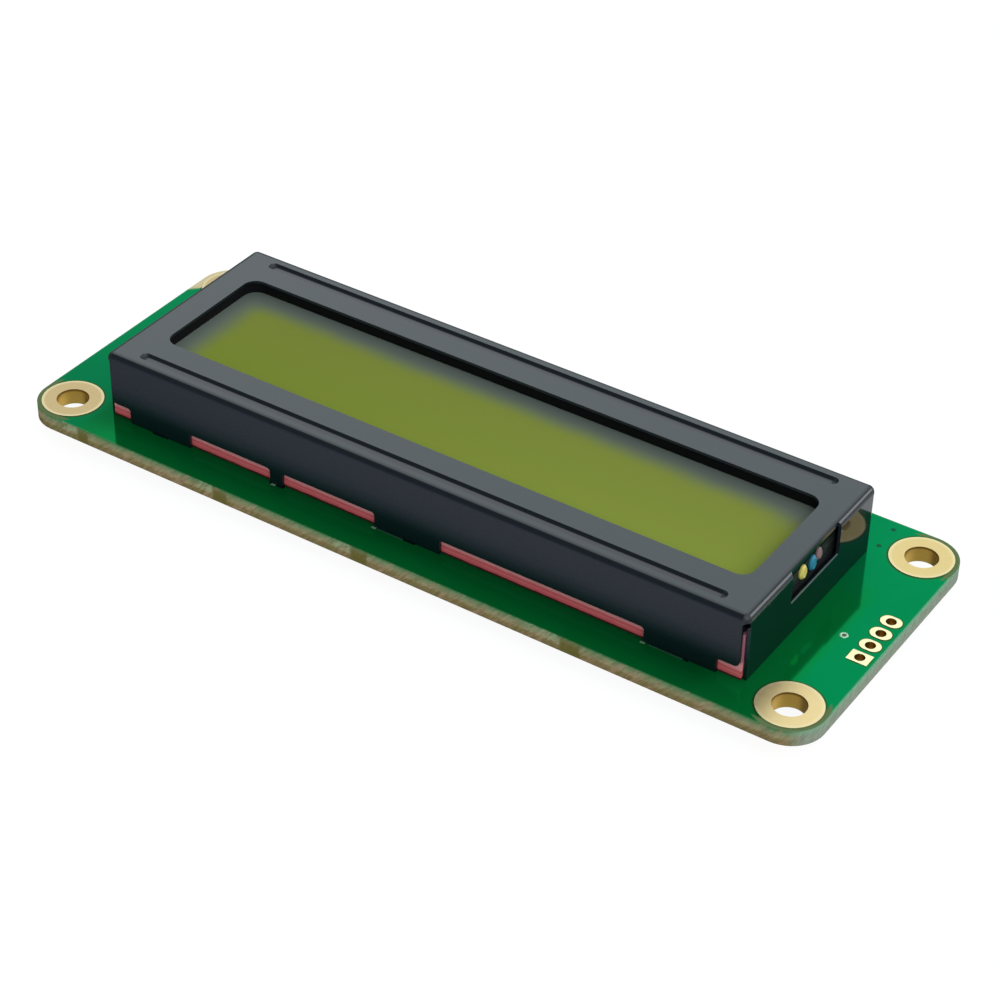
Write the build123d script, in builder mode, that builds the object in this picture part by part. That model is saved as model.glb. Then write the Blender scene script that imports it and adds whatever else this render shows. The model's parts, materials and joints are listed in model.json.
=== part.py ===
from build123d import *
from math import sqrt
import os

# Character display module, display face up.
# X runs along the length, Y to the back, and Z up. The origin is below the centre of the board,
# on the surface that the bent tabs of the bezel stand on.

# Circuit board
board_length = 87.0
board_width = 32.0
board_thickness = 1.6
board_corner_radius = 3.5
board_clearance_below = 1.8

# Mounting holes
hole_edge_distance = 3.5
hole_diameter = 3.2
mounting_pad_diameter = 6.1

# Plated pads and barrels
barrel_wall = 0.16
pad_height = 0.05

# Connector holes at the right end, in a row along Y
header_pitch = 2.0
header_count = 4
header_bore = 1.0
header_pad_length = 2.05
header_pad_width = 1.5
header_edge_distance = 1.5
header_offset_y = -0.5

# Bezel, folded from one sheet
bezel_end_distance = 8.1
bezel_front_distance = 3.55
bezel_back_distance = 4.85
bezel_height = 7.15
sheet = 0.3
bend_radius = 0.7
corner_relief = 0.56

# Display window in the bezel
window_left_margin = 3.3
window_right_margin = 2.88
window_front_margin = 4.89
window_back_margin = 4.77
window_corner_radius = 1.4

# Pressed beads beside the window
bead_width = 1.1
bead_depth = 0.28
bead_edge_distance = 1.76
bead_end_distance = 3.1
bead_slope = 40

# Feet and notches along the long walls
foot_width = 7.3
foot_end_distance = 2.75
post_width = 1.45
post_foot_gap = 9.625
notch_height = 1.6
notch_corner_radius = 0.35
wall_corner_radius = 0.5

# Tabs that pass through the board and are twisted under it
tab_width = 1.6
tab_slot_clearance = 0.15
tab_twist = 42
tab_twist_start = 0.25

# Slot in the right wall, which runs into the bend above and clears the seal of the display cell
end_slot_length = 8.9
end_slot_height = 3.47
end_slot_top_distance = 0.1
end_slot_offset_y = 0.53
end_slot_corner_radius = 0.25
end_slot_overcut = 0.03

# Gasket between the bezel and the display
gasket_thickness = 1.1
gasket_width = 1.5
gasket_setback = 0.1

# Display cell
polariser_thickness = 0.2
polariser_end_margin = 0.2
polariser_side_margin = 0.1
glass_thickness = 0.7
glass_end_gap = 0.45
glass_side_gap = 0.15
cell_gap = 0.06
cell_seal_width = 0.8
seal_port_length = 5.0
rear_polariser_thickness = 0.25
rear_polariser_margin = 0.8

# Dabs of resin over the filling port of the cell: place along and above it, length and height
dab_slot_offset_y = 0.49
dab_reach = 0.35
dab_chamfer = 0.2
dabs = {
    "yellow": (-1.8, 0.1, 1.15, 1.5),
    "blue": (0, 0, 1.1, 1.6),
    "pink": (1.1, 0.35, 0.9, 1.3),
}

# Rubber contact strips between the board and the front glass
strip_width = 2.0
strip_wall_gap = 0.05
strip_end_gap = 0.15
strip_glass_gap = 0.2

# Backlight
frame_wall = 1.2
frame_floor = 0.8
diffuser_thickness = 0.15
reflector_thickness = 0.1
film_edge_gap = 0.1
led_board_thickness = 0.8
led_board_side_gap = 1.35
led_count = 3
led_pitch = 4.2
led_length = 0.8
led_width = 1.6
led_height = 0.9
led_guide_gap = 0.1

# Square leads of the backlight, in drilled holes
lead_side = 0.5
lead_pitch = 8.0
lead_clearance = 0.1
lead_hole_diameter = 0.9
lead_reach = 0.9
joint_diameter = 1.7
joint_top_diameter = 0.8
joint_height = 0.7

# Resin drops over the chips under the board, rounded in steps
drop_height = 1.25
drop_steps = 2
controller_drop_diameter = 13.0
controller_drop_x = -14.0
driver_drop_diameter = 11.5
driver_drop_x = 11.0
drop_offset_y = 1.0

# Small parts under the board
chip_length = 2.0
chip_width = 1.25
resistor_height = 0.5
capacitor_height = 0.8
chip_cap_length = 0.4
chip_cap_step = 0.03
transistor_length = 2.9
transistor_width = 1.3
transistor_height = 0.95
transistor_lead_width = 0.4
transistor_lead_thickness = 0.15
transistor_lead_reach = 0.5
transistor_lead_pitch = 0.95
chip_row_distance = 2.1
back_row_resistors = (-32, -28, -24, 24, 28)
front_row_resistors = (24, 28)
back_row_capacitors = (-1.5,)
front_row_capacitors = (-24, 20)
transistor_x = -31

# Levels
board_bottom = board_clearance_below
board_top = board_bottom + board_thickness
bezel_top = board_top + bezel_height
bezel_ceiling = bezel_top - sheet
polariser_top = bezel_ceiling - gasket_thickness
front_glass_top = polariser_top - polariser_thickness
front_glass_bottom = front_glass_top - glass_thickness
rear_glass_top = front_glass_bottom - cell_gap
rear_glass_bottom = rear_glass_top - glass_thickness
backlight_top = rear_glass_bottom - rear_polariser_thickness
guide_top = backlight_top - diffuser_thickness
floor_top = board_top + frame_floor
guide_bottom = floor_top + reflector_thickness

# Places and sizes that follow from the values above
hole_spacing_x = board_length - 2 * hole_edge_distance
hole_spacing_y = board_width - 2 * hole_edge_distance
bezel_length = board_length - 2 * bezel_end_distance
bezel_width = board_width - bezel_front_distance - bezel_back_distance
bezel_offset_y = (bezel_front_distance - bezel_back_distance) / 2
bezel_right = bezel_length / 2
inner_length = bezel_length - 2 * sheet
inner_width = bezel_width - 2 * sheet
window_length = bezel_length - window_left_margin - window_right_margin
window_width = bezel_width - window_front_margin - window_back_margin
window_x = (window_left_margin - window_right_margin) / 2
window_offset_y = (window_front_margin - window_back_margin) / 2
foot_spacing = bezel_right - foot_end_distance - foot_width / 2
post_x = -foot_spacing + foot_width / 2 + post_foot_gap + post_width / 2
glass_length = inner_length - 2 * glass_end_gap
front_glass_width = inner_width - 2 * glass_side_gap
strip_length = inner_length - 2 * strip_end_gap
strip_offset_y = inner_width / 2 - strip_wall_gap - strip_width / 2
rear_glass_width = 2 * (strip_offset_y - strip_width / 2 - strip_glass_gap)
polariser_length = glass_length - 2 * polariser_end_margin
polariser_width = rear_glass_width - 2 * polariser_side_margin
port_level = (rear_glass_bottom + front_glass_top) / 2
port_y = bezel_offset_y + end_slot_offset_y + dab_slot_offset_y
frame_inner_length = glass_length - 2 * frame_wall
frame_inner_width = rear_glass_width - 2 * frame_wall
led_board_width = frame_inner_width - 2 * led_board_side_gap
led_board_x = -frame_inner_length / 2 + led_board_thickness / 2
led_x = led_board_x + led_board_thickness / 2 + led_length / 2
guide_left = led_x + led_length / 2 + led_guide_gap
guide_right = frame_inner_length / 2
header_x = board_length / 2 - header_edge_distance
tab_places_x = (-foot_spacing, 0, foot_spacing)
back_row_y = bezel_offset_y + bezel_width / 2 - chip_row_distance
front_row_y = bezel_offset_y - bezel_width / 2 + chip_row_distance
wall_sides = (-1, 1)
overcut = 1.0

mounting_holes = {
    "front_left": (-hole_spacing_x / 2, -hole_spacing_y / 2),
    "front_right": (hole_spacing_x / 2, -hole_spacing_y / 2),
    "back_left": (-hole_spacing_x / 2, hole_spacing_y / 2),
    "back_right": (hole_spacing_x / 2, hole_spacing_y / 2),
}
header_holes = [
    (header_x, header_offset_y + (place - (header_count - 1) / 2) * header_pitch)
    for place in range(header_count)
]
lead_places = [(led_board_x, bezel_offset_y + side * lead_pitch / 2) for side in wall_sides]

os.makedirs("parts", exist_ok=True)


def save(part, name):
    """Label a finished piece and write it under its own name."""
    part.label = name
    export_step(part, f"parts/{name}.step")


def wall_centre_y(side):
    """Middle of the thickness of the front or back wall of the bezel."""
    return bezel_offset_y + side * (bezel_width - sheet) / 2


# Circuit board
with BuildPart() as circuit_board:
    with BuildSketch(Plane.XY.offset(board_bottom)):
        RectangleRounded(board_length, board_width, board_corner_radius)
        with Locations(*mounting_holes.values()):
            Circle(hole_diameter / 2 + barrel_wall, mode=Mode.SUBTRACT)
        with Locations(*header_holes):
            Circle(header_bore / 2 + barrel_wall, mode=Mode.SUBTRACT)
        with Locations(*lead_places):
            Circle(lead_hole_diameter / 2, mode=Mode.SUBTRACT)
        for side in wall_sides:
            with Locations(*[(x, wall_centre_y(side)) for x in tab_places_x]):
                Rectangle(tab_width + 2 * tab_slot_clearance, sheet + 2 * tab_slot_clearance,
                          mode=Mode.SUBTRACT)
            with Locations((post_x, wall_centre_y(side))):
                Rectangle(post_width + 2 * tab_slot_clearance, sheet + 2 * tab_slot_clearance,
                          mode=Mode.SUBTRACT)
    extrude(amount=board_thickness)
save(circuit_board.part, "circuit_board")


# Plated holes: a pad on each face of the board and a barrel through it
def plated_hole(name, place, pad, bore):
    """Write one plated hole whose pads have the outline of the given sketch."""
    with BuildPart() as plated:
        for level in (board_bottom - pad_height, board_top):
            with BuildSketch(Plane.XY.offset(level)):
                with Locations(place):
                    add(pad)
            extrude(amount=pad_height)
        with BuildSketch(Plane.XY.offset(board_bottom)):
            with Locations(place):
                Circle(bore / 2 + barrel_wall)
        extrude(amount=board_thickness)
        with BuildSketch(Plane.XY.offset(board_bottom - pad_height)):
            with Locations(place):
                Circle(bore / 2)
        extrude(amount=board_thickness + 2 * pad_height, mode=Mode.SUBTRACT)
    save(plated.part, name)


with BuildSketch() as mounting_pad:
    Circle(mounting_pad_diameter / 2)
with BuildSketch() as first_header_pad:
    Rectangle(header_pad_length, header_pad_width)
with BuildSketch() as header_pad:
    SlotOverall(header_pad_length, header_pad_width)

for corner, place in mounting_holes.items():
    plated_hole(f"mounting_pad_{corner}", place, mounting_pad.sketch, hole_diameter)
for number, place in enumerate(header_holes, start=1):
    pad = first_header_pad if number == 1 else header_pad
    plated_hole(f"header_pad_{number}", place, pad.sketch, header_bore)


# Bezel: a folded tray, cut to its window, beads, notches, slits and slot
legs = [(x - foot_width / 2, x + foot_width / 2) for x in tab_places_x]
legs.append((post_x - post_width / 2, post_x + post_width / 2))
legs.sort()
gap_starts = [-bezel_length / 2 - overcut] + [leg[1] for leg in legs]
gap_ends = [leg[0] for leg in legs] + [bezel_length / 2 + overcut]
bezel_base = Plane((0, bezel_offset_y, board_top))
bezel_face = Plane((0, bezel_offset_y, bezel_top))
bead_y = bezel_width / 2 - bead_edge_distance
bead_places = [(0, side * bead_y) for side in wall_sides]
bead_length = bezel_length - 2 * bead_end_distance

with BuildPart() as bezel:
    with BuildSketch(bezel_base):
        Rectangle(bezel_length, bezel_width)
    extrude(amount=bezel_height)
    bends = bezel.edges().filter_by(Axis.Z) + bezel.edges().group_by(Axis.Z)[-1]
    fillet(bends, bend_radius)
    offset(amount=-sheet, openings=bezel.faces().sort_by(Axis.Z)[0])

    # Beads: a ridge under the sheet and the groove above it
    with BuildSketch(Plane(bezel_base.origin + (0, 0, bezel_height - sheet), z_dir=(0, 0, -1))):
        with Locations(*[(x, -y) for x, y in bead_places]):
            SlotOverall(bead_length, bead_width)
    extrude(amount=bead_depth, taper=bead_slope)
    with BuildSketch(bezel_face):
        with Locations(*bead_places):
            SlotOverall(bead_length, bead_width)
    extrude(amount=-bead_depth, taper=bead_slope, mode=Mode.SUBTRACT)

    # Window
    with BuildSketch(bezel_face):
        with Locations((window_x, window_offset_y)):
            RectangleRounded(window_length, window_width, window_corner_radius)
    extrude(amount=-sheet - overcut, mode=Mode.SUBTRACT)

    # Slits down the four corners, each ending in a round hole
    slit_hole_radius = corner_relief / sqrt(2)
    slit_height = bezel_height - bend_radius - slit_hole_radius
    with BuildSketch(bezel_base):
        with GridLocations(bezel_length, bezel_width, 2, 2):
            Rectangle(2 * corner_relief, 2 * corner_relief)
    extrude(amount=slit_height, mode=Mode.SUBTRACT)
    for end in wall_sides:
        for side in wall_sides:
            slit_top = (end * bezel_right, bezel_offset_y + side * bezel_width / 2, board_top + slit_height)
            with BuildSketch(Plane(slit_top, z_dir=(end, side, 0))):
                Circle(slit_hole_radius)
            extrude(amount=overcut, both=True, mode=Mode.SUBTRACT)

    # Notches between the feet of the front and back walls
    for side in wall_sides:
        with BuildSketch(Plane((0, wall_centre_y(side) - corner_relief / 2, board_top), x_dir=(1, 0, 0),
                               z_dir=(0, -1, 0)).offset(-corner_relief)):
            for start, end in zip(gap_starts, gap_ends):
                with Locations(((start + end) / 2, 0)):
                    RectangleRounded(end - start, 2 * notch_height, notch_corner_radius)
        extrude(amount=corner_relief, mode=Mode.SUBTRACT)

    # Rounded lower corners of the front and back walls
    wall_ends = bezel.edges().filter_by(Axis.Y).filter_by(
        lambda edge: abs(abs(edge.center().X) - (bezel_right - corner_relief)) < 0.01
        and abs(edge.center().Z - board_top - notch_height) < 0.01
    )
    fillet(wall_ends, wall_corner_radius)

    # Slot in the right wall
    slot_level = bezel_top - end_slot_top_distance - end_slot_height / 2
    slot_middle = (bezel_right, bezel_offset_y + end_slot_offset_y, slot_level)
    with BuildSketch(Plane(slot_middle, x_dir=(0, 1, 0), z_dir=(1, 0, 0))):
        RectangleRounded(end_slot_length, end_slot_height, end_slot_corner_radius)
    extrude(amount=-sheet - end_slot_overcut, mode=Mode.SUBTRACT)

    # Legs through the board: the post is straight, the tabs are twisted below it
    for side in wall_sides:
        for x in tab_places_x:
            with BuildSketch(Plane((x, wall_centre_y(side), board_bottom - tab_twist_start))):
                Rectangle(tab_width, sheet)
            extrude(amount=board_thickness + tab_twist_start)
            with BuildSketch(Plane((x, wall_centre_y(side), board_bottom - tab_twist_start))):
                Rectangle(tab_width, sheet)
            with BuildSketch(Plane((x, wall_centre_y(side), 0))):
                Rectangle(tab_width, sheet, rotation=tab_twist)
            loft()
        with BuildSketch(Plane((post_x, wall_centre_y(side), board_bottom))):
            Rectangle(post_width, sheet)
        extrude(amount=board_thickness)
save(bezel.part, "bezel")


def plate(name, level, thickness, length, width, x=0.0, y=bezel_offset_y, corner=0.0):
    """Write one flat rectangular piece, given by its lower level, its size and its middle."""
    with BuildPart() as piece:
        with BuildSketch(Plane((x, y, level))):
            if corner:
                RectangleRounded(length, width, corner)
            else:
                Rectangle(length, width)
        extrude(amount=thickness)
    save(piece.part, name)


# Gasket round the window
with BuildPart() as window_gasket:
    with BuildSketch(Plane((window_x, bezel_offset_y + window_offset_y, polariser_top))):
        opening_length = window_length + 2 * gasket_setback
        opening_width = window_width + 2 * gasket_setback
        opening_radius = window_corner_radius + gasket_setback
        RectangleRounded(opening_length + 2 * gasket_width, opening_width + 2 * gasket_width,
                         opening_radius + gasket_width)
        RectangleRounded(opening_length, opening_width, opening_radius, mode=Mode.SUBTRACT)
    extrude(amount=gasket_thickness)
save(window_gasket.part, "window_gasket")

# Display cell
plate("front_polariser", front_glass_top, polariser_thickness, polariser_length, polariser_width)
plate("front_glass", front_glass_bottom, glass_thickness, glass_length, front_glass_width)
plate("rear_glass", rear_glass_bottom, glass_thickness, glass_length, rear_glass_width)
plate("rear_polariser", backlight_top, rear_polariser_thickness,
      glass_length - 2 * rear_polariser_margin, rear_glass_width - 2 * rear_polariser_margin)

with BuildPart() as cell_seal:
    with BuildSketch(Plane((0, bezel_offset_y, rear_glass_top))):
        Rectangle(glass_length, rear_glass_width)
        Rectangle(glass_length - 2 * cell_seal_width, rear_glass_width - 2 * cell_seal_width,
                  mode=Mode.SUBTRACT)
        with Locations((glass_length / 2, port_y - bezel_offset_y)):
            Rectangle(2 * cell_seal_width, seal_port_length, mode=Mode.SUBTRACT)
    extrude(amount=cell_gap)
save(cell_seal.part, "cell_seal")
plate("liquid_crystal_layer", rear_glass_top, cell_gap,
      glass_length - 2 * cell_seal_width, rear_glass_width - 2 * cell_seal_width)

# Dabs of resin on the right edge of the cell, over its filling port
for colour, (along, above, dab_length, dab_height) in dabs.items():
    dab_middle = (glass_length / 2, port_y + along, port_level + above)
    with BuildPart() as dab:
        with BuildSketch(Plane(dab_middle, x_dir=(0, 1, 0), z_dir=(1, 0, 0))):
            Ellipse(dab_length / 2, dab_height / 2)
        extrude(amount=dab_reach)
        chamfer(dab.faces().sort_by(Axis.X)[-1].edges(), dab_chamfer)
    save(dab.part, f"end_seal_{colour}")

# Rubber contact strips
for name, side in (("front", -1), ("back", 1)):
    plate(f"contact_strip_{name}", board_top, front_glass_bottom - board_top, strip_length, strip_width,
          y=bezel_offset_y + side * strip_offset_y)

# Backlight
with BuildPart() as backlight_frame:
    with BuildSketch(Plane((0, bezel_offset_y, board_top))):
        Rectangle(glass_length, rear_glass_width)
    extrude(amount=backlight_top - board_top)
    with BuildSketch(Plane((0, bezel_offset_y, floor_top))):
        Rectangle(frame_inner_length, frame_inner_width)
    extrude(amount=backlight_top - floor_top, mode=Mode.SUBTRACT)
    with BuildSketch(Plane.XY.offset(board_top)):
        with Locations(*lead_places):
            Rectangle(lead_side + 2 * lead_clearance, lead_side + 2 * lead_clearance)
    extrude(amount=frame_floor, mode=Mode.SUBTRACT)
save(backlight_frame.part, "backlight_frame")

film_length = guide_right - guide_left - 2 * film_edge_gap
film_width = frame_inner_width - 2 * film_edge_gap
guide_x = (guide_left + guide_right) / 2
plate("reflector_film", floor_top, reflector_thickness, film_length, film_width, x=guide_x)
plate("light_guide", guide_bottom, guide_top - guide_bottom, guide_right - guide_left,
      frame_inner_width, x=guide_x)
plate("diffuser_film", guide_top, diffuser_thickness, film_length, film_width, x=guide_x)
plate("led_board", floor_top, guide_top - floor_top, led_board_thickness, led_board_width, x=led_board_x)

with BuildPart() as backlight_leds:
    with BuildSketch(Plane((led_x, bezel_offset_y, (floor_top + guide_top - led_height) / 2))):
        with GridLocations(0, led_pitch, 1, led_count):
            Rectangle(led_length, led_width)
    extrude(amount=led_height)
save(backlight_leds.part, "backlight_leds")

# Leads of the backlight and their solder cones under the board
for number, place in enumerate(lead_places, start=1):
    with BuildPart() as lead:
        with BuildSketch(Plane.XY.offset(board_bottom - lead_reach)):
            with Locations(place):
                Rectangle(lead_side, lead_side)
        extrude(amount=floor_top - board_bottom + lead_reach)
    save(lead.part, f"backlight_pin_{number}")

with BuildPart() as backlight_joints:
    for place in lead_places:
        with BuildSketch(Plane.XY.offset(board_bottom)):
            with Locations(place):
                Circle(joint_diameter / 2)
        with BuildSketch(Plane.XY.offset(board_bottom - joint_height)):
            with Locations(place):
                Circle(joint_top_diameter / 2)
        loft()
    with BuildSketch(Plane.XY.offset(board_bottom)):
        with Locations(*lead_places):
            Rectangle(lead_side, lead_side)
    extrude(amount=-joint_height, mode=Mode.SUBTRACT)
save(backlight_joints.part, "backlight_joints")


# Resin drops over the two chips under the board
def resin_drop(name, x, diameter):
    """Write one drop of resin that has spread on the underside of the board."""
    with BuildPart() as drop:
        with BuildSketch(Plane.XZ):
            with BuildLine():
                skin = TangentArc((0, -drop_height), (diameter / 2, 0), tangent=(1, 0), mode=Mode.PRIVATE)
                Polyline(*[skin @ (step / drop_steps) for step in range(drop_steps + 1)], (0, 0), close=True)
            make_face()
        revolve(axis=Axis.Z)
    save(Pos(x, drop_offset_y, board_bottom) * drop.part, name)


resin_drop("controller_blob", controller_drop_x, controller_drop_diameter)
resin_drop("driver_blob", driver_drop_x, driver_drop_diameter)


# Chip resistors and capacitors, each with a metal cap at both ends
def chip_group(name, places, height):
    """Write a group of equal chip parts on the underside of the board."""
    with BuildPart() as chips:
        with BuildSketch(Plane.XY.offset(board_bottom)):
            with Locations(*places):
                Rectangle(chip_length, chip_width)
        extrude(amount=-height)
        with BuildSketch(Plane.XY.offset(board_bottom)):
            with Locations(*places):
                with GridLocations(chip_length - chip_cap_length + 2 * chip_cap_step, 0, 2, 1):
                    Rectangle(chip_cap_length, chip_width + 2 * chip_cap_step)
        extrude(amount=-height - chip_cap_step)
    save(chips.part, name)


resistor_places = [(x, back_row_y) for x in back_row_resistors]
resistor_places += [(x, front_row_y) for x in front_row_resistors]
capacitor_places = [(x, back_row_y) for x in back_row_capacitors]
capacitor_places += [(x, front_row_y) for x in front_row_capacitors]
chip_group("chip_resistors", resistor_places, resistor_height)
chip_group("chip_capacitors", capacitor_places, capacitor_height)

# Transistor that switches the backlight
transistor_place = (transistor_x, front_row_y)
with BuildPart() as backlight_transistor:
    with BuildSketch(Plane.XY.offset(board_bottom - transistor_lead_thickness)):
        with Locations(transistor_place):
            Rectangle(transistor_length, transistor_width)
    extrude(amount=transistor_lead_thickness - transistor_height)
    with BuildSketch(Plane.XY.offset(board_bottom)):
        with Locations(transistor_place):
            lead_y = (transistor_width + transistor_lead_reach) / 2
            with Locations((-transistor_lead_pitch, -lead_y), (transistor_lead_pitch, -lead_y), (0, lead_y)):
                Rectangle(transistor_lead_width, transistor_lead_reach + 2 * transistor_lead_thickness)
    extrude(amount=-2 * transistor_lead_thickness)
save(backlight_transistor.part, "backlight_transistor")
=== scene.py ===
import json
import math

import bpy
from mathutils import Matrix, Vector


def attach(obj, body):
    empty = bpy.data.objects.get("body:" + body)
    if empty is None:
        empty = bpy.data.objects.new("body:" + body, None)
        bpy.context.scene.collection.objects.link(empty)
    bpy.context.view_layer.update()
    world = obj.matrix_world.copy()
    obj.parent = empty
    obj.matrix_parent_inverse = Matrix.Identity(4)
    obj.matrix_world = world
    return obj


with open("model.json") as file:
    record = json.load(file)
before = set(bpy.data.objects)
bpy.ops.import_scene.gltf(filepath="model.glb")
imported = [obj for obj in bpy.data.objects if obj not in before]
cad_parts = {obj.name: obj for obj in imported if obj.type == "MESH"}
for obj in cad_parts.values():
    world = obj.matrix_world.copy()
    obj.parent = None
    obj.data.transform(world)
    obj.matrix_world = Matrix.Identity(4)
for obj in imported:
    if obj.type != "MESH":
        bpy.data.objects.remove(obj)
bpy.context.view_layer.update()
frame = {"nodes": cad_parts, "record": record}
nodes = frame["nodes"]
scene = bpy.context.scene

MM = 0.001

# Sizes in millimetres that the paint and the small pieces follow
BOARD_HALF = (43.5, 16.0)
BOARD_CORNER = 3.5
BOARD_TOP = 3.4
BOARD_BOTTOM = 1.8
HOLE_PLACE = (40.0, 12.5)
PAD_RADIUS = 3.05
HEADER_HOLE = (42.0, -3.5)
HEADER_PITCH = 2.0
HEADER_REACH = 3.0
HEADER_PAD_STRAIGHT = 0.275
HEADER_PAD_RADIUS = 0.75
BEZEL_TOP = 10.55
BEZEL_MIDDLE_Y = -0.65
WALL_FRONT = -12.45
WALL_RIGHT = 35.4
BEAD_NEAR = 9.45
BEAD_FAR = 10.65
SLOT_BOTTOM = 6.98
WINDOW_LOW = (-32.1, -7.56)
WINDOW_HIGH = (32.52, 6.38)

# Marks of the break-away bridges on the board's front edge, from and to along x
FRAYED_PLACES = ((-38.4, -36.6), (-21.7, -19.9), (-5.6, -3.8), (15.4, 18.9))
OLIVE_PLACES = ((-36.4, -35.2), (-19.8, -18.3), (-3.75, -2.0), (19.0, 21.0))

# Small pieces on the board
TEST_VIA = (39.4, -1.52)
TENTED_VIAS = ((35.95, 14.8), (35.95, 11.85))
AXIS_GAP = 0.0002
SLOT_RIMS = ((-3.2, -0.4), (26.0, 29.4))
SLOT_CORNERS = (-15.3, -3.65, 25.35)
SLIVER_SLOPE = 0.03

# Studio, and the camera that was fitted to the photograph, in metres and degrees
FLOOR_HALF = 3
FLOOR_DROP = 0.00002
CAMERA_PLACE = (0.1149406, -0.1744638, 0.1553763)
CAMERA_TURN = (32.9104, 36.5431, 1.2957)
FOCAL_PIXELS = 2726.7363
PHOTO_PIXELS = 1000.0
SENSOR_WIDTH = 36.0


# Material building
class Graph:
    """Shader nodes that work out numbers and colours."""

    def __init__(self, tree):
        self.nodes = tree.nodes
        self.links = tree.links

    def new(self, kind, **settings):
        node = self.nodes.new("ShaderNode" + kind)
        for name, value in settings.items():
            setattr(node, name, value)
        return node

    def feed(self, target, value):
        """Give a socket a link, a number or a colour."""
        if isinstance(value, bpy.types.NodeSocket):
            self.links.new(value, target)
        else:
            target.default_value = (*value, 1.0) if isinstance(value, tuple) else value

    def math(self, operation, a, b=0.0):
        node = self.new("Math", operation=operation)
        self.feed(node.inputs[0], a)
        self.feed(node.inputs[1], b)
        return node.outputs[0]

    def fold(self, operation, first, *others):
        for other in others:
            first = self.math(operation, first, other)
        return first

    def plus(self, *values):
        return self.fold("ADD", *values)

    def both(self, *values):
        return self.fold("MULTIPLY", *values)

    def either(self, *values):
        return self.fold("MAXIMUM", *values)

    def minus(self, a, b):
        return self.math("SUBTRACT", a, b)

    def inverse(self, a):
        return self.minus(1.0, a)

    def off(self, value, middle):
        """Distance of a value from a middle one."""
        return self.math("ABSOLUTE", self.minus(value, middle))

    def length(self, a, b):
        return self.math("SQRT", self.plus(self.both(a, a), self.both(b, b)))

    def ease(self, value, low, high, start, end):
        """Start below low and end above high, with a smooth step between them."""
        node = self.new("MapRange", interpolation_type="SMOOTHSTEP")
        self.feed(node.inputs["Value"], value)
        for number, limit in enumerate((low, high, start, end), start=1):
            node.inputs[number].default_value = limit
        return node.outputs[0]


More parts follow.
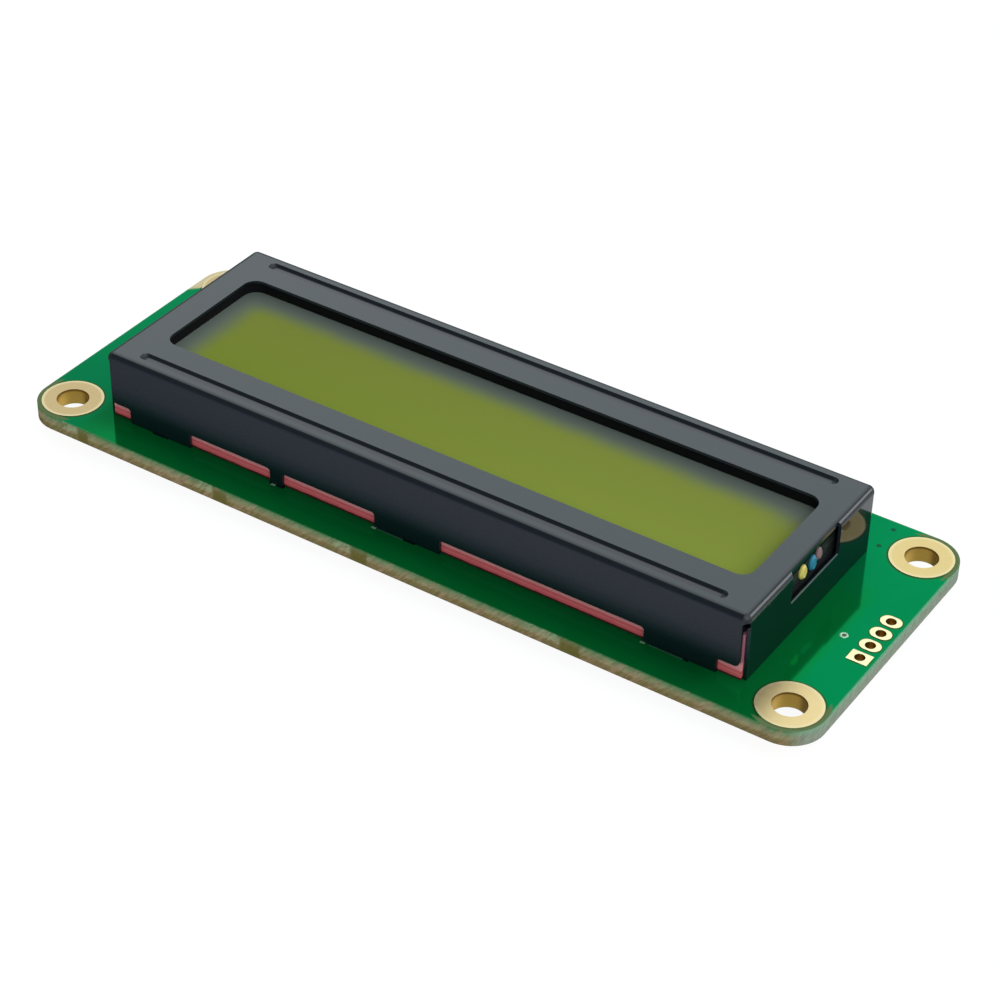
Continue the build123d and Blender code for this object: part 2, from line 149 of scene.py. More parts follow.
class Paint(Graph):
    """A node material that is painted by the place of each point on the object, in millimetres."""

    def __init__(self, name, color, roughness, metallic=0.0):
        self.mat = bpy.data.materials.new(name)
        self.mat.use_nodes = True
        super().__init__(self.mat.node_tree)
        self.bsdf = self.nodes["Principled BSDF"]
        self.set("Base Color", color)
        self.set("Roughness", roughness)
        self.set("Metallic", metallic)
        self.set("IOR", 1.5)
        coords = self.new("TexCoord")
        scale = self.new("VectorMath", operation="SCALE")
        scale.inputs["Scale"].default_value = 1000.0
        self.links.new(coords.outputs["Object"], scale.inputs[0])
        self.place = scale.outputs[0]
        split = self.new("SeparateXYZ")
        self.links.new(self.place, split.inputs[0])
        self.x, self.y, self.z = split.outputs
        turned = self.new("SeparateXYZ")
        self.links.new(coords.outputs["Normal"], turned.inputs[0])
        self.nx, self.ny, self.nz = turned.outputs

    def set(self, socket, value):
        self.feed(self.bsdf.inputs[socket], value)

    def band(self, value, low, high):
        """0 below low and 1 above high, with a smooth step between them. Low may be the higher one."""
        if low < high:
            return self.ease(value, low, high, 0.0, 1.0)
        return self.ease(value, high, low, 1.0, 0.0)

    def spread(self, value, low, high):
        """A value from 0 to 1 stretched to run from low to high."""
        node = self.new("MapRange")
        self.feed(node.inputs["Value"], value)
        node.inputs["To Min"].default_value = low
        node.inputs["To Max"].default_value = high
        return node.outputs[0]

    def combine(self, x, y, z=0.0):
        """A vector of three values."""
        node = self.new("CombineXYZ")
        for target, value in zip(node.inputs, (x, y, z)):
            self.feed(target, value)
        return node.outputs[0]

    def noise(self, scale, detail=4.0, stretch=(1.0, 1.0, 1.0), roughness=0.55, vector=None):
        """Noise from 0 to 1 with the given number of waves per millimetre."""
        mapping = self.new("Mapping")
        mapping.inputs["Scale"].default_value = stretch
        self.links.new(self.place if vector is None else vector, mapping.inputs["Vector"])
        node = self.new("TexNoise")
        node.inputs["Scale"].default_value = scale
        node.inputs["Detail"].default_value = detail
        node.inputs["Roughness"].default_value = roughness
        self.links.new(mapping.outputs[0], node.inputs["Vector"])
        return node.outputs["Fac"]

    def ramp(self, value, stops):
        """Colour along a value, from (position, colour) pairs."""
        node = self.new("ValToRGB")
        elements = node.color_ramp.elements
        while len(elements) < len(stops):
            elements.new(0.5)
        for element, (position, color) in zip(elements, stops):
            element.position = position
            element.color = (*color, 1.0)
        self.links.new(value, node.inputs["Fac"])
        return node.outputs["Color"]

    def mix(self, share, a, b):
        """Colour a where the share is 0 and colour b where it is 1."""
        node = self.new("Mix", data_type="RGBA")
        self.feed(node.inputs["Factor"], share)
        self.feed(node.inputs["A"], a)
        self.feed(node.inputs["B"], b)
        return node.outputs["Result"]

    def tone(self, color, value):
        """A colour made darker or lighter by a value about 1."""
        node = self.new("VectorMath", operation="SCALE")
        self.feed(node.inputs[0], color)
        self.feed(node.inputs["Scale"], value)
        return node.outputs[0]

    def bump(self, height, strength, depth):
        """Relief from a height from 0 to 1, with its depth in millimetres."""
        node = self.new("Bump")
        node.inputs["Strength"].default_value = strength
        node.inputs["Distance"].default_value = depth * MM
        self.feed(node.inputs["Height"], height)
        self.set("Normal", node.outputs[0])

    def upright(self):
        """1 on faces that stand upright and 0 on level ones."""
        return self.band(self.math("ABSOLUTE", self.nz), 0.6, 0.4)

    def corner_distance(self, place):
        """Distance from the nearest of four places that mirror each other."""
        return self.length(self.minus(self.math("ABSOLUTE", self.x), place[0]),
                           self.minus(self.math("ABSOLUTE", self.y), place[1]))

    def edge_depth(self, half, corner):
        """Distance inwards from the outline of a rounded rectangle about the middle."""
        ax = self.minus(self.math("ABSOLUTE", self.x), half[0] - corner)
        ay = self.minus(self.math("ABSOLUTE", self.y), half[1] - corner)
        outside = self.length(self.either(ax, 0.0), self.either(ay, 0.0))
        inside = self.math("MINIMUM", self.either(ax, ay), 0.0)
        return self.minus(corner, self.plus(outside, inside))


def mask_color(p, cloud, depth):
    """Colour of the board's faces, with painted shade and light about the bezel, and how bare they are of the
    glossy solder mask.
    """
    green = p.mix(cloud, (0.0, 0.152, 0.044), (0.0, 0.178, 0.055))

    # Painted light and shade: yellower beside the bezel, lighter to the right, darker to the left and at the
    # wall's foot
    top = p.band(p.nz, 0.4, 0.6)
    beside = p.both(p.band(p.x, -37.5, -35.5), p.band(p.x, 39.8, 38.4), p.band(p.y, 8.0, 2.0), top)
    green = p.mix(beside, green, p.mix(cloud, (0.001, 0.148, 0.029), (0.001, 0.174, 0.036)))
    green = p.tone(green, p.spread(p.band(p.x, 30.0, 37.0), 1.0, 1.14))
    left = p.both(p.band(p.x, -32.0, -37.0), p.band(p.y, 5.0, -14.0))
    green = p.tone(green, p.spread(left, 1.0, 0.8))
    foot = p.both(p.band(p.x, -37.5, -35.5), p.band(p.x, 33.6, 30.6), p.band(p.y, -15.6, -12.7))
    green = p.tone(green, p.spread(p.both(foot, top), 1.0, 0.68))

    # Dark lines round the mounting pads and the connector pads
    hole = p.corner_distance(HOLE_PLACE)
    ring = p.both(p.band(hole, PAD_RADIUS + 0.3, PAD_RADIUS + 0.1), p.band(hole, PAD_RADIUS - 0.1, PAD_RADIUS))
    green = p.mix(p.both(ring, 0.8), green, (0.02, 0.06, 0.012))
    pin_y = p.math("PINGPONG", p.minus(p.y, HEADER_HOLE[1]), HEADER_PITCH / 2)
    pin_x = p.either(p.minus(p.off(p.x, HEADER_HOLE[0]), HEADER_PAD_STRAIGHT), 0.0)
    pin = p.band(p.length(pin_x, pin_y), HEADER_PAD_RADIUS + 0.2, HEADER_PAD_RADIUS + 0.03)
    row = p.band(p.off(p.y, HEADER_HOLE[1] + HEADER_REACH), HEADER_REACH + 1.0, HEADER_REACH + 0.9)
    green = p.mix(p.both(pin, row, 0.75), green, (0.03, 0.045, 0.002))

    # Bare places: a pale outline, olive margins outside the mounting pads, and a cream corner at the back left
    rim = p.band(p.plus(depth, p.spread(p.noise(2.2, 4.0), -0.05, 0.05)), 0.2, 0.06)
    rim = p.both(rim, p.spread(p.band(p.x, 39.0, 43.0), 0.15, 1.0))
    green = p.mix(rim, green, (0.11, 0.30, 0.17))
    margin = p.both(p.band(hole, PAD_RADIUS + 0.66, PAD_RADIUS + 0.47),
                    p.band(hole, PAD_RADIUS - 0.1, PAD_RADIUS + 0.1), p.band(depth, 0.66, 0.5))
    green = p.mix(p.both(margin, 0.85), green, (0.11, 0.14, 0.062))
    corner = p.both(p.band(depth, 0.95, 0.85), top, p.band(p.minus(p.y, p.x), 52.9, 53.6))
    green = p.mix(corner, green, (0.54, 0.47, 0.28))
    return green, p.either(rim, margin, corner)


def edge_color(p, depth):
    """Colour and relief of the board's sawn edge, with the marks of its break-away bridges and painted shade on
    the cut walls of its slots and holes.
    """
    # Slanting fibres, greenish above, tan in the middle and brown below, greyer at the right end
    slant = p.minus(p.plus(p.x, p.y), p.both(p.z, 0.9))
    steep = p.combine(slant, p.both(p.z, 0.35))
    fibre = p.noise(2.6, 6.0, vector=steep, roughness=0.75)
    level = p.minus(p.plus(p.z, p.spread(fibre, -0.14, 0.14)), BOARD_BOTTOM)
    level = p.math("DIVIDE", level, BOARD_TOP - BOARD_BOTTOM)
    core = p.ramp(level, ((0.0, (0.16, 0.125, 0.055)), (0.31, (0.19, 0.153, 0.068)),
                          (0.5, (0.245, 0.222, 0.118)), (0.69, (0.195, 0.225, 0.12)),
                          (0.82, (0.145, 0.222, 0.112)), (1.0, (0.05, 0.16, 0.06))))
    grey = p.ramp(level, ((0.0, (0.215, 0.245, 0.195)), (0.6, (0.205, 0.25, 0.19)),
                          (1.0, (0.175, 0.32, 0.215))))
    patch = p.noise(0.8, 4.0, vector=steep, roughness=0.65)
    core = p.mix(p.both(p.band(patch, 0.5, 0.66), 0.5), core, (0.34, 0.235, 0.155))
    core = p.mix(p.both(p.band(patch, 0.48, 0.34), 0.5), core, (0.14, 0.155, 0.055))
    core = p.mix(p.band(p.nx, 0.35, 0.85), core, grey)
    core = p.tone(core, p.spread(p.band(fibre, 0.3, 0.7), 0.75, 1.25))
    # Painted shade: cut walls inside the outline, in the slots and holes, are painted near-black
    core = p.mix(p.band(depth, 0.3, 0.5), core, (0.03, 0.045, 0.015))
    ragged = p.plus(p.x, p.spread(fibre, -0.3, 0.3))

    def along_front(places):
        """1 on the front edge between each pair of places along x, with ragged ends."""
        spots = []
        for start, end in places:
            half = (end - start) / 2
            spots.append(p.band(p.off(ragged, (start + end) / 2), half + 0.25, half - 0.15))
        return p.both(p.either(*spots), p.band(p.y, 1.0 - BOARD_HALF[1], 0.4 - BOARD_HALF[1]))

    frayed = p.both(along_front(FRAYED_PLACES), p.band(fibre, 0.44, 0.54), p.band(level, 0.3, 0.6))
    core = p.mix(p.both(frayed, 0.55), core, (0.30, 0.36, 0.22))
    olive = along_front(OLIVE_PLACES)
    core = p.mix(p.both(olive, p.spread(p.band(level, 1.0, 0.55), 0.4, 0.9)), core, (0.115, 0.105, 0.028))
    return core, p.both(fibre, p.inverse(p.both(olive, 0.8)))


def board_paint():
    """Green solder mask on glass-epoxy with a sawn fibrous edge."""
    p = Paint("board_mask", (0.0, 0.158, 0.047), 0.09)
    p.set("Specular IOR Level", 0.0)
    p.set("Specular Tint", (0.65, 1.0, 1.0))
    cloud = p.noise(0.25, 3.0)
    depth = p.edge_depth(BOARD_HALF, BOARD_CORNER)
    green, bare = mask_color(p, cloud, depth)
    core, fibres = edge_color(p, depth)
    side = p.upright()
    p.set("Base Color", p.mix(side, green, core))
    p.set("Metallic", p.both(p.inverse(p.either(side, p.both(bare, 0.8))), 0.54))
    p.set("Roughness", p.spread(side, 0.08, 0.8))
    p.bump(p.plus(p.both(side, fibres), p.both(p.inverse(side), p.both(cloud, 0.05))), 0.45, 0.08)
    return p.mat


def gold_paint():
    """Pale gold plating, with painted light to the right and front right, a painted highlight at each pad's rim
    and painted shade inside the holes.
    """
    p = Paint("gold_plating", (0.45, 0.37, 0.2), 0.36, metallic=1.0)
    grain = p.noise(1.4, 4.0)
    hole = p.corner_distance(HOLE_PLACE)
    # Painted light: the plating is lighter towards the right and lighter again at the front right
    to_right = p.band(p.x, -10.0, 30.0)
    gold = p.mix(to_right, p.mix(grain, (0.41, 0.315, 0.145), (0.49, 0.385, 0.205)),
                 p.mix(grain, (0.54, 0.425, 0.17), (0.62, 0.51, 0.24)))
    front_right = p.both(to_right, p.band(p.y, 0.0, -10.0))
    gold = p.mix(front_right, gold, p.mix(grain, (0.60, 0.47, 0.215), (0.68, 0.56, 0.30)))
    # Painted highlight at the rim of each mounting pad
    rim = p.band(hole, PAD_RADIUS - 0.4, PAD_RADIUS - 0.1)
    gold = p.mix(p.both(rim, 0.55), gold, (0.68, 0.62, 0.38))
    # Painted shade: inside the holes the wall is dark just below the rim and more orange further down
    barrel = p.both(p.upright(), p.band(p.z, BOARD_BOTTOM - 0.02, BOARD_BOTTOM + 0.02),
                    p.band(hole, PAD_RADIUS - 0.1, PAD_RADIUS - 0.4))
    dark_below_rim = p.band(p.z, BOARD_TOP - 0.3, BOARD_TOP - 0.08)
    gold = p.mix(barrel, gold, p.mix(dark_below_rim, (0.66, 0.43, 0.09), (0.26, 0.15, 0.025)))
    p.set("Base Color", gold)
    p.set("Roughness", p.spread(grain, 0.3, 0.42))
    p.bump(p.noise(5.0, 3.0), 0.25, 0.01)
    return p.mat


def header_paint():
    """Cream gold of the connector pads, with brown holes."""
    p = Paint("connector_plating", (0.5, 0.46, 0.3), 0.33, metallic=1.0)
    grain = p.noise(3.0, 3.0)
    gold = p.mix(grain, (0.72, 0.67, 0.38), (0.82, 0.79, 0.5))
    bore = p.both(p.upright(), p.band(p.off(p.x, HEADER_HOLE[0]), 0.7, 0.55))
    p.set("Base Color", p.mix(bore, gold, (0.46, 0.28, 0.06)))
    p.set("Roughness", p.spread(grain, 0.26, 0.4))
    p.bump(grain, 0.25, 0.008)
    return p.mat


def bezel_paint():
    """Blue-black lacquer on folded steel, with painted light on its top face and upper front wall, and a bare cut
    edge below the slot.
    """
    p = Paint("bezel_lacquer", (0.003, 0.007, 0.01), 0.12)
    peel = p.noise(1.6, 2.0)
    dust = p.noise(7.0, 3.0)
    upward = p.band(p.nz, 0.9, 0.99)
    forward = p.band(p.ny, -0.8, -0.98)
    level_top = p.band(p.z, BEZEL_TOP - 0.04, BEZEL_TOP - 0.02)
    black = p.mix(peel, (0.0022, 0.0062, 0.0095), (0.0035, 0.0082, 0.0125))
    # Painted light: the level top face is painted lighter than the walls
    black = p.mix(p.both(upward, level_top), black, (0.009, 0.021, 0.025))
    # Painted reflection: the upper front wall is painted lighter where the ground in front is mirrored in it
    black = p.mix(p.both(forward, p.band(p.z, 4.8, 6.4)), black, (0.012, 0.017, 0.027))
    # The bare cut edge below the slot, its pale greenish grey partly a painted highlight
    lip = p.both(p.band(p.x, WALL_RIGHT - 0.18, WALL_RIGHT - 0.12), p.band(p.nz, 0.6, 0.9),
                 p.band(p.off(p.z, SLOT_BOTTOM), 0.06, 0.03))
    p.set("Base Color", p.mix(p.both(lip, 0.85), black, (0.13, 0.17, 0.16)))

    # Duller ends of the beads, bends over the end walls, and corners between two bends
    from_middle_x = p.math("ABSOLUTE", p.x)
    from_middle_y = p.off(p.y, BEZEL_MIDDLE_Y)
    bead_end = p.both(p.band(from_middle_y, BEAD_NEAR - 0.15, BEAD_NEAR),
                      p.band(from_middle_y, BEAD_FAR + 0.15, BEAD_FAR),
                      p.band(p.z, BEZEL_TOP - 0.02, BEZEL_TOP - 0.05),
                      p.band(from_middle_x, 31.5, 31.8), p.band(from_middle_x, 33.2, 33.0))
    end_bend = p.both(p.band(from_middle_x, WALL_RIGHT - 0.72, WALL_RIGHT - 0.6),
                      p.band(p.z, BEZEL_TOP - 0.75, BEZEL_TOP - 0.65))
    corner = p.both(end_bend, p.band(from_middle_y, 11.0, 11.15))
    p.set("Roughness", p.plus(p.both(upward, 0.06), p.both(forward, 0.2), p.spread(dust, 0.06, 0.1),
                              p.both(end_bend, 0.16), p.both(corner, 0.25), p.both(bead_end, 0.5)))
    p.bump(peel, 0.12, 0.02)
    return p.mat


def gasket_paint():
    """Matt black foam."""
    p = Paint("gasket_foam", (0.004, 0.004, 0.005), 0.9)
    cell = p.noise(9.0, 4.0)
    p.set("Specular IOR Level", 0.1)
    p.set("Base Color", p.mix(cell, (0.0025, 0.0028, 0.003), (0.006, 0.0065, 0.007)))
    p.bump(cell, 0.5, 0.03)
    return p.mat


def display_paint():
    """Matt polarising film over the yellow-green display, with painted shade: it greys towards its left and back
    edges where the bezel's shadow falls.
    """
    p = Paint("display_film", (0.17, 0.24, 0.035), 0.62)
    p.set("Specular IOR Level", 0.06)
    wander = p.spread(p.noise(0.16, 3.0), -0.5, 0.5)
    from_left = p.minus(p.plus(p.x, wander), WINDOW_LOW[0])
    from_back = p.minus(WINDOW_HIGH[1], p.plus(p.y, wander))
    from_right = p.minus(WINDOW_HIGH[0], p.plus(p.x, wander))
    # Painted shade: the film greys at its left and back edges and at its back right corner, in the bezel's shadow
    back_right = p.both(p.band(from_right, 4.5, 0.5), p.band(p.y, 1.0, 6.0))
    clear = p.both(p.band(from_left, 0.5, 3.7), p.band(from_back, 0.7, 3.7))
    bezel_shade = p.inverse(p.both(clear, p.inverse(p.both(back_right, 0.8))))
    # Painted shade and light: darker towards the left and the back, lighter towards the right
    green = p.mix(p.band(p.x, -30.0, 30.0), (0.135, 0.177, 0.018), (0.170, 0.219, 0.030))
    green = p.mix(p.both(p.band(p.y, -7.0, 5.0), 0.5), green, (0.138, 0.168, 0.030))
    green = p.mix(p.both(p.noise(0.35, 3.0), 0.2), green, (0.168, 0.215, 0.030))
    p.set("Base Color", p.mix(bezel_shade, green, (0.088, 0.108, 0.094)))
    sparkle = p.noise(14.0, 2.0)
    p.set("Roughness", p.spread(sparkle, 0.55, 0.7))
    p.bump(sparkle, 0.15, 0.01)
    return p.mat


def rubber_paint():
    """Red silicone rubber of the contact strips, with paler bands at two heights, painted shade at its dark foot
    and a mauve upper part.
    """
    p = Paint("contact_rubber", (0.6, 0.1, 0.13), 0.5)
    fibre = p.noise(2.5, 4.0, (0.3, 1.0, 3.0))
    level = p.plus(p.z, p.spread(fibre, -0.06, 0.06))
    red = p.mix(fibre, (0.60, 0.085, 0.11), (0.73, 0.13, 0.15))
    red = p.mix(p.both(p.band(level, 4.3, 4.44), 0.85), red, (0.76, 0.32, 0.34))
    red = p.mix(p.both(p.band(p.off(level, 3.98), 0.14, 0.05), 0.45), red, (0.76, 0.22, 0.24))
    # Painted shade: a near-black line at the foot of the strip, in the gap above the board
    red = p.mix(p.band(level, 3.66, 3.56), red, (0.05, 0.004, 0.008))
    red = p.mix(p.both(p.band(p.z, 4.85, 5.6), 0.9), red, (0.31, 0.115, 0.16))
    p.set("Base Color", red)
    p.set("Roughness", p.spread(fibre, 0.42, 0.6))
    p.bump(fibre, 0.3, 0.02)
    return p.mat


def plain_paint(name, dark, light, roughness, scale, depth, metallic=0.0, shine=0.5):
    """A surface whose colour and gloss wander between two values, with a matching fine relief."""
    p = Paint(name, dark, roughness, metallic)
    p.set("Specular IOR Level", shine)
    grain = p.noise(scale, 4.0)
    p.set("Base Color", p.mix(grain, dark, light))
    p.set("Roughness", p.spread(p.noise(scale * 0.6, 3.0), roughness * 0.8, min(roughness * 1.2, 1.0)))
    p.bump(grain, 0.35, depth)
    return p.mat


def chip_paint(name, body_dark, body_light, half_length):
    """A chip part with a tinned cap at each end, laid along the board at places 4 mm apart."""
    p = Paint(name, body_dark, 0.35)
    grain = p.noise(5.0, 3.0)
    from_middle = p.math("PINGPONG", p.minus(p.x, 24.0), 2.0)
    cap = p.band(from_middle, half_length - 0.42, half_length - 0.38)
    p.set("Base Color", p.mix(cap, p.mix(grain, body_dark, body_light), (0.6, 0.6, 0.62)))
    p.set("Metallic", cap)
    p.set("Roughness", p.spread(grain, 0.28, 0.45))
    p.bump(grain, 0.3, 0.01)
    return p.mat


paints = {
    "board": board_paint(),
    "gold_plating": gold_paint(),
    "bezel": bezel_paint(),
    "gasket": gasket_paint(),
    "polariser": display_paint(),
    # The cell's glass is painted near-black: painted shade for the glass seen deep in the bezel's end slot
    "cell_glass": plain_paint("glass_edge", (0.004, 0.007, 0.007), (0.012, 0.019, 0.018), 0.5, 1.5, 0.01,
                              shine=0.15),
    "sealant": plain_paint("sealant", (0.03, 0.03, 0.028), (0.09, 0.09, 0.08), 0.5, 2.0, 0.02, shine=0.2),
    "liquid_crystal": plain_paint("liquid_film", (0.30, 0.34, 0.14), (0.38, 0.42, 0.2), 0.2, 1.0, 0.002),
    "rear_polariser": plain_paint("rear_film", (0.30, 0.33, 0.2), (0.4, 0.43, 0.28), 0.4, 1.5, 0.005),
    "yellow_resin": plain_paint("yellow_resin", (0.44, 0.36, 0.06), (0.68, 0.60, 0.17), 0.35, 1.6, 0.03),
    "blue_resin": plain_paint("blue_resin", (0.004, 0.11, 0.20), (0.02, 0.22, 0.32), 0.4, 1.6, 0.03),
    "pink_resin": plain_paint("pink_resin", (0.15, 0.08, 0.09), (0.26, 0.16, 0.165), 0.4, 1.6, 0.03),
    "contact_rubber": rubber_paint(),
    "black_plastic": plain_paint("moulded_black", (0.008, 0.01, 0.012), (0.018, 0.02, 0.022), 0.45, 3.0, 0.02),
    "white_film": plain_paint("white_film", (0.7, 0.7, 0.68), (0.8, 0.8, 0.78), 0.55, 3.0, 0.01),
    "clear_acrylic": plain_paint("acrylic", (0.45, 0.52, 0.36), (0.58, 0.64, 0.48), 0.15, 0.8, 0.005),
    "white_board": plain_paint("white_mask", (0.6, 0.6, 0.56), (0.7, 0.7, 0.66), 0.35, 2.0, 0.01),
    "led_body": plain_paint("led_lens", (0.40, 0.48, 0.1), (0.56, 0.62, 0.2), 0.2, 2.0, 0.01),
    "tinned_metal": plain_paint("tinned_lead", (0.42, 0.42, 0.42), (0.58, 0.58, 0.57), 0.3, 3.0, 0.01, 1.0),
    "solder": plain_paint("solder_cone", (0.46, 0.46, 0.47), (0.62, 0.62, 0.63), 0.22, 2.5, 0.03, 1.0),
    "black_resin": plain_paint("epoxy_drop", (0.006, 0.006, 0.007), (0.016, 0.016, 0.018), 0.16, 0.5, 0.12),
    "resistor_body": chip_paint("resistor_glaze", (0.01, 0.01, 0.012), (0.03, 0.03, 0.034), 1.0),
    "capacitor_body": chip_paint("capacitor_body", (0.26, 0.16, 0.08), (0.38, 0.25, 0.14), 1.0),
    "transistor_body": plain_paint("transistor_resin", (0.012, 0.012, 0.013), (0.03, 0.03, 0.032), 0.45, 4.0,
                                   0.02),
}
header_plating = header_paint()

for part in frame["record"]["subparts"]:
    node = nodes[part["node"]]
    paint = paints[part["material_slot"]]
    if part["node"].startswith("header_pad"):
        paint = header_plating
    node.data.materials.clear()
    node.data.materials.append(paint)


# Small pieces that the solids leave out
def add_piece(name, vertices, faces, paint, smooth=False):
    """A piece of its own on the fixed body, from corners in millimetres."""
    mesh = bpy.data.meshes.new(name)
    mesh.from_pydata([tuple(MM * v for v in corner) for corner in vertices], [], faces)
    mesh.validate()
    mesh.update()
    for face in mesh.polygons:
        face.use_smooth = smooth
    piece = bpy.data.objects.new(name, mesh)
    scene.collection.objects.link(piece)
    piece.data.materials.append(paint)
    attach(piece, "root")


def lathe(name, centre, profile, paint, segments=36):
    """A turned piece about an upright line, from (radius, height) points."""
    vertices, faces = [], []
    for radius, height in profile:
        for step in range(segments):
            turn = 2 * math.pi * step / segments
            vertices.append((centre[0] + radius * math.cos(turn), centre[1] + radius * math.sin(turn), height))
    for row in range(len(profile) - 1):
        for step in range(segments):
            after = (step + 1) % segments
            faces.append((row * segments + step, row * segments + after,
                          (row + 1) * segments + after, (row + 1) * segments + step))
    add_piece(name, vertices, faces, paint, smooth=True)


def prisms(name, shapes, paint):
    """One piece made of slender blocks. Each is a ring of corners below and the same ring above."""
    vertices, faces = [], []
    for low, high in shapes:
        start, count = len(vertices), len(low)
        vertices += [*low, *high]
        faces.append(tuple(start + i for i in reversed(range(count))))
        faces.append(tuple(start + count + i for i in range(count)))
        for i in range(count):
            after = (i + 1) % count
            faces.append((start + i, start + after, start + count + after, start + count + i))
    add_piece(name, vertices, faces, paint)


def sliver(start, end, front, back, height):
    """Corners of a thin flat sliver on the board, narrower at its top."""
    top = BOARD_TOP + height
    low = [(start, front, BOARD_TOP), (end, front, BOARD_TOP), (end, back, BOARD_TOP), (start, back, BOARD_TOP)]
    start, end, front = start + SLIVER_SLOPE, end - SLIVER_SLOPE, front + SLIVER_SLOPE
    return low, [(start, front, top), (end, front, top), (end, back, top), (start, back, top)]


# Painted shade: the via's hole is a dark disc in place of an open hole
via_hole = plain_paint("via_hole", (0.02, 0.03, 0.012), (0.05, 0.06, 0.03), 0.5, 5.0, 0.01)
via_plating = plain_paint("via_plating", (0.26, 0.50, 0.33), (0.40, 0.64, 0.46), 0.35, 5.0, 0.01, 0.3)
tented = plain_paint("tented_via", (0.0, 0.07, 0.03), (0.002, 0.10, 0.045), 0.5, 5.0, 0.01, shine=0.05)
# Painted shade of the slot gaps in front of the bezel's feet
slot_gap_shade = plain_paint("painted_slot_shade", (0.006, 0.035, 0.015), (0.015, 0.06, 0.03), 0.8, 4.0, 0.01, shine=0.05)
# Painted highlight: pale spots at the left corner of each bezel foot, where the cut steel edge catches the light
foot_glint = plain_paint("painted_foot_glint", (0.06, 0.12, 0.07), (0.11, 0.19, 0.12), 0.8, 4.0, 0.01, shine=0.05)

# Vias on both faces of the board
for side, level, up in (("top", BOARD_TOP, 1), ("bottom", BOARD_BOTTOM, -1)):
    ring = [(0.41, level), (0.39, level + up * 0.03), (0.34, level + up * 0.04), (0.22, level + up * 0.04),
            (0.18, level + up * 0.01)]
    lathe(f"test_via_ring_{side}", TEST_VIA, ring[::up], via_plating)
    plug = [(0.19, level + up * 0.008), (AXIS_GAP, level + up * 0.006)]
    lathe(f"test_via_hole_{side}", TEST_VIA, plug[::up], via_hole)
    dimple = [(0.26, level), (0.21, level + up * 0.012), (0.1, level + up * 0.012), (AXIS_GAP, level + up * 0.004)]
    for number, place in enumerate(TENTED_VIAS, start=1):
        lathe(f"tented_via_{number}_{side}", place, dimple[::up], tented)

# Painted shade in dark slivers before the bezel's feet, where the slots lie in shadow, and painted highlights at
# the feet
rims = [sliver(start, end, WALL_FRONT - 0.2, WALL_FRONT - 0.02, 0.02) for start, end in SLOT_RIMS]
spots = [sliver(x - 0.25, x + 0.25, WALL_FRONT - 0.25, WALL_FRONT - 0.02, 0.03) for x in SLOT_CORNERS]
prisms("slot_rims", rims, slot_gap_shade)
prisms("slot_corners", spots, foot_glint)


# Floor, light and camera
def stage_floor():
    """White paper floor, a hair below the part so that the two don't share a plane."""
    mesh = bpy.data.meshes.new("floor")
    corners = [(x * FLOOR_HALF, y * FLOOR_HALF, 0) for x, y in ((-1, -1), (1, -1), (1, 1), (-1, 1))]
    mesh.from_pydata(corners, [], [(0, 1, 2, 3)])
    floor = bpy.data.objects.new("floor", mesh)
    floor.location.z = -FLOOR_DROP
    scene.collection.objects.link(floor)
    p = Paint("floor_paper", (0.9, 0.9, 0.9), 0.9)
    p.set("Specular IOR Level", 0.0)
    p.set("Base Color", p.mix(p.noise(0.02, 2.0), (0.08, 0.08, 0.08), (0.09, 0.09, 0.09)))
    p.set("Emission Color", (1.0, 1.0, 1.0))
    p.set("Emission Strength", 0.93)
    floor.data.materials.append(p.mat)
    floor.visible_glossy = False


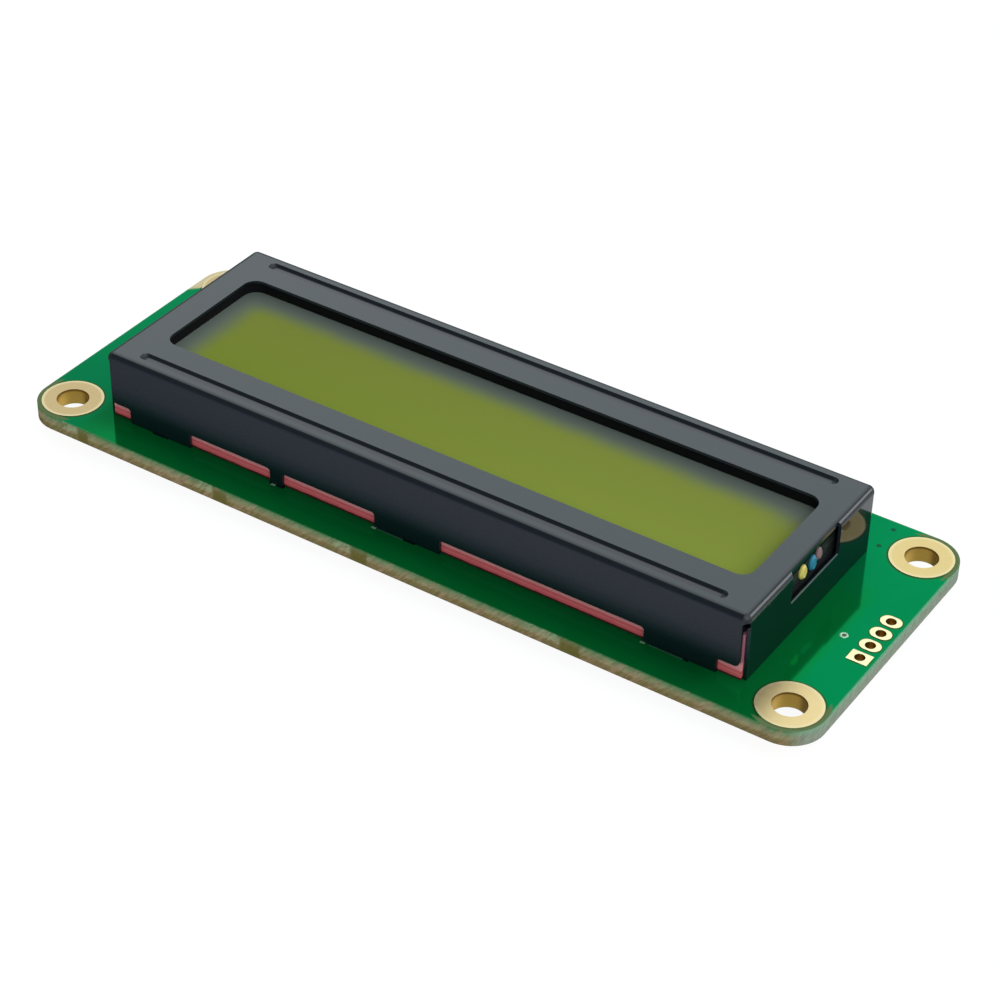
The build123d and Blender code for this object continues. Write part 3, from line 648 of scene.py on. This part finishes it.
def studio():
    """A soft white studio: a large screen behind the object, two smaller ones, and dim elsewhere."""
    world = bpy.data.worlds.new("studio")
    world.use_nodes = True
    scene.world = world
    g = Graph(world.node_tree)
    background = g.nodes["Background"]
    coords = g.new("TexCoord")
    direction = g.new("VectorMath", operation="NORMALIZE")
    g.links.new(coords.outputs["Generated"], direction.inputs[0])
    split = g.new("SeparateXYZ")
    g.links.new(direction.outputs[0], split.inputs[0])
    x, y, z = split.outputs

    def screen(towards, full, none, light):
        """Light of a round screen in one direction, with its edge between two angles in degrees."""
        dot = g.new("VectorMath", operation="DOT_PRODUCT")
        g.links.new(direction.outputs[0], dot.inputs[0])
        dot.inputs[1].default_value = Vector(towards).normalized()
        low, high = (math.cos(math.radians(angle)) for angle in (none, full))
        return g.ease(dot.outputs["Value"], low, high, 0.0, light)

    above = g.ease(z, -0.06, 0.06, 0.0, 0.2)
    ground = g.both(g.ease(z, -0.06, 0.06, 1.0, 0.0), g.ease(y, -0.5, 0.6, 0.42, 0.8),
                    g.ease(x, -0.75, -0.35, 0.25, 1.0))
    behind = g.both(screen((-0.4, 0.6, 0.69), 30, 46, 1.35), g.ease(z, 0.3, 0.45, 0.0, 1.0))
    light = g.plus(above, ground, behind, screen((0.55, -0.35, 0.75), 24, 40, 2.6),
                   screen((0.62, 0.66, 0.42), 8, 18, 4.5))
    background.inputs["Color"].default_value = (0.97, 1.0, 1.02, 1.0)
    g.links.new(light, background.inputs["Strength"])


def photo_camera():
    """Camera at the photograph's angle, from its fitted place, turn, tilt, roll and focal length."""
    azimuth, elevation, roll = (math.radians(angle) for angle in CAMERA_TURN)
    back = Vector((math.sin(azimuth) * math.cos(elevation), -math.cos(azimuth) * math.cos(elevation),
                   math.sin(elevation)))
    right = (-back).cross(Vector((0, 0, 1))).normalized()
    up = right.cross(-back)
    turned_right = right * math.cos(roll) + up * math.sin(roll)
    turned_up = up * math.cos(roll) - right * math.sin(roll)
    turn = Matrix((turned_right, turned_up, back)).transposed()
    data = bpy.data.cameras.new("photo_camera")
    data.sensor_width = SENSOR_WIDTH
    data.lens = FOCAL_PIXELS * SENSOR_WIDTH / PHOTO_PIXELS
    data.clip_start = 0.01
    data.clip_end = 20.0
    camera = bpy.data.objects.new("photo_camera", data)
    camera.matrix_world = Matrix.Translation(CAMERA_PLACE) @ turn.to_4x4()
    scene.collection.objects.link(camera)
    scene.camera = camera


stage_floor()
studio()
photo_camera()
scene.view_settings.view_transform = "Standard"
